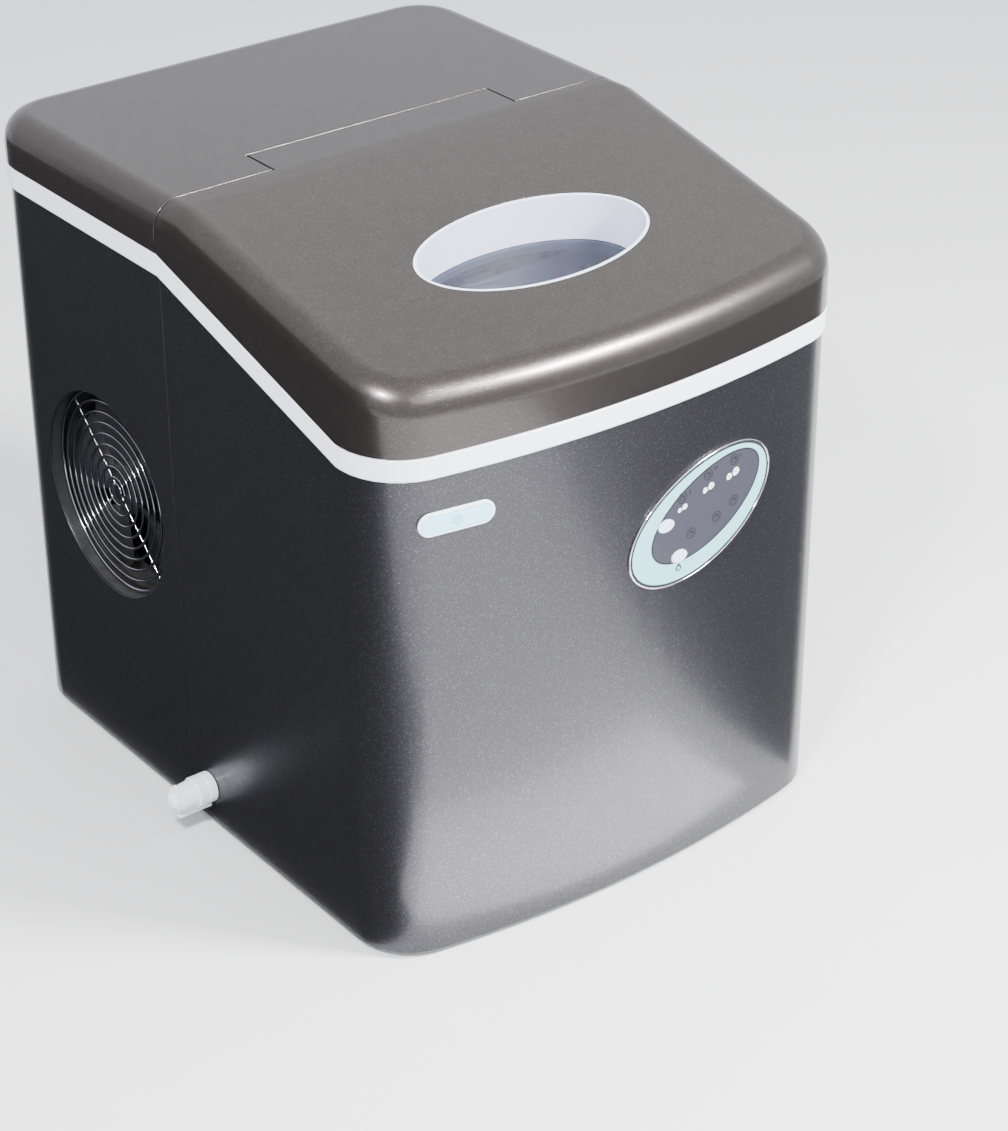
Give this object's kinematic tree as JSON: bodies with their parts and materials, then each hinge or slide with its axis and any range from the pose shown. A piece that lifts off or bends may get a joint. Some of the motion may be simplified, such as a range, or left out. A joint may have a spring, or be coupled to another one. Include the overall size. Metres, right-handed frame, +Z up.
{
  "type": "countertop ice maker",
  "caption": "Countertop ice maker with a hinged lid and oval window, a lift-out basket, a tilting freezing tray with fingers, a side fan behind a round wire guard, and a drain tap.",
  "frame": {"origin": "on the table, below the middle of the overall box, which takes in the drain tap on the left-hand side", "axes": "+Z up, -Y out of the rounded front, +X towards the side without the fan, so the drain tap points along -X"},
  "size_m": [0.3926, 0.4536, 0.4368],
  "materials": {
    "silver_paint": "satin",
    "graphite_paint": "satin",
    "white_plastic": "satin",
    "clear_plastic": "gloss",
    "black_plastic": "matte",
    "mint_plastic": "satin",
    "chrome": "polished",
    "badge_blue": "gloss",
    "circuit_green": "satin",
    "galvanised": "satin",
    "foam": "matte",
    "rubber": "matte",
    "copper": "satin",
    "black_paint": "gloss",
    "wire_chrome": "polished",
    "silicone": "matte"
  },
  "bodies": {
    "casing": {"front_panel": "graphite_paint", "rear_top_cover": "silver_paint", "rear_panel": "graphite_paint", "trim_band": "white_plastic", "inner_tub": "white_plastic", "tub_floor": "white_plastic", "tub_deck": "white_plastic", "tray_motor": "white_plastic", "drain_tap": "white_plastic", "ice_sensor_left": "black_plastic", "ice_sensor_right": "black_plastic", "fan_shroud": "black_plastic", "hot_gas_valve": "black_plastic", "water_pump": "black_plastic", "power_inlet": "black_plastic", "control_overlay": "mint_plastic", "control_bezel": "chrome", "name_badge": "badge_blue", "control_board": "circuit_green", "main_board": "circuit_green", "base_pan": "galvanised", "hinge_pin_left": "galvanised", "hinge_pin_right": "galvanised", "rear_screw_low_left": "galvanised", "rear_screw_low_right": "galvanised", "rear_screw_high_left": "galvanised", "rear_screw_high_right": "galvanised", "bulkhead": "galvanised", "evaporator_bracket": "galvanised", "fan_motor": "galvanised", "condenser": "galvanised", "compressor_mount": "galvanised", "foam_jacket": "foam", "foot_front_left": "rubber", "foot_front_right": "rubber", "foot_rear_left": "rubber", "foot_rear_right": "rubber", "evaporator": "copper", "suction_tube": "copper", "discharge_tube": "copper", "capillary_tube": "copper", "filter_drier": "copper", "compressor": "black_paint", "fan_guard": "wire_chrome", "pump_hose": "silicone", "pump_intake_hose": "silicone"},
    "lid": {"lid_shell": "silver_paint", "lid_liner": "white_plastic", "lid_window": "clear_plastic", "lid_gasket": "silicone"},
    "basket": {"ice_basket": "white_plastic", "basket_floor": "white_plastic"},
    "tray": {"water_tray": "white_plastic"},
    "shovel": {"ice_shovel": "white_plastic"},
    "fan": {"fan_blade": "black_plastic"},
    "tap_cap": {"drain_cap": "white_plastic"},
    "select_key": {"select_button": "white_plastic"},
    "power_key": {"power_button": "white_plastic"}
  },
  "joints": [
    {"name": "lid_hinge", "type": "hinge", "parent": "casing", "child": "lid", "pos_m": [0.0153, 0.033, 0.4318], "axis": [-1, 0, 0], "range_deg": [0, 100]},
    {"name": "basket_lift", "type": "slide", "parent": "casing", "child": "basket", "axis": [0, 0, 1], "range_m": [0, 0.075]},
    {"name": "tray_tilt", "type": "hinge", "parent": "casing", "child": "tray", "pos_m": [0.0153, -0.03, 0.335], "axis": [1, 0, 0], "range_deg": [0, 75]},
    {"name": "shovel_swing", "type": "hinge", "parent": "casing", "child": "shovel", "pos_m": [0.0153, -0.066, 0.363], "axis": [-1, 0, 0], "range_deg": [0, 30]},
    {"name": "fan_spin", "type": "hinge", "parent": "casing", "child": "fan", "pos_m": [-0.1342, 0.105, 0.202], "axis": [1, 0, 0], "continuous": true},
    {"name": "drain_turn", "type": "hinge", "parent": "casing", "child": "tap_cap", "pos_m": [-0.1637, -0.0044, 0.031], "axis": [-1, 0, 0], "range_deg": [0, 90]},
    {"name": "select_press", "type": "slide", "parent": "casing", "child": "select_key", "axis": [0, 1, 0], "range_m": [0, 0.0012], "stiffness_N_per_m": 500},
    {"name": "power_press", "type": "slide", "parent": "casing", "child": "power_key", "axis": [0, 1, 0], "range_m": [0, 0.0012], "stiffness_N_per_m": 500}
  ],
  "couplings": [
    {"joint": "shovel_swing", "follows": "tray_tilt", "ratio": 0.4}
  ]
}
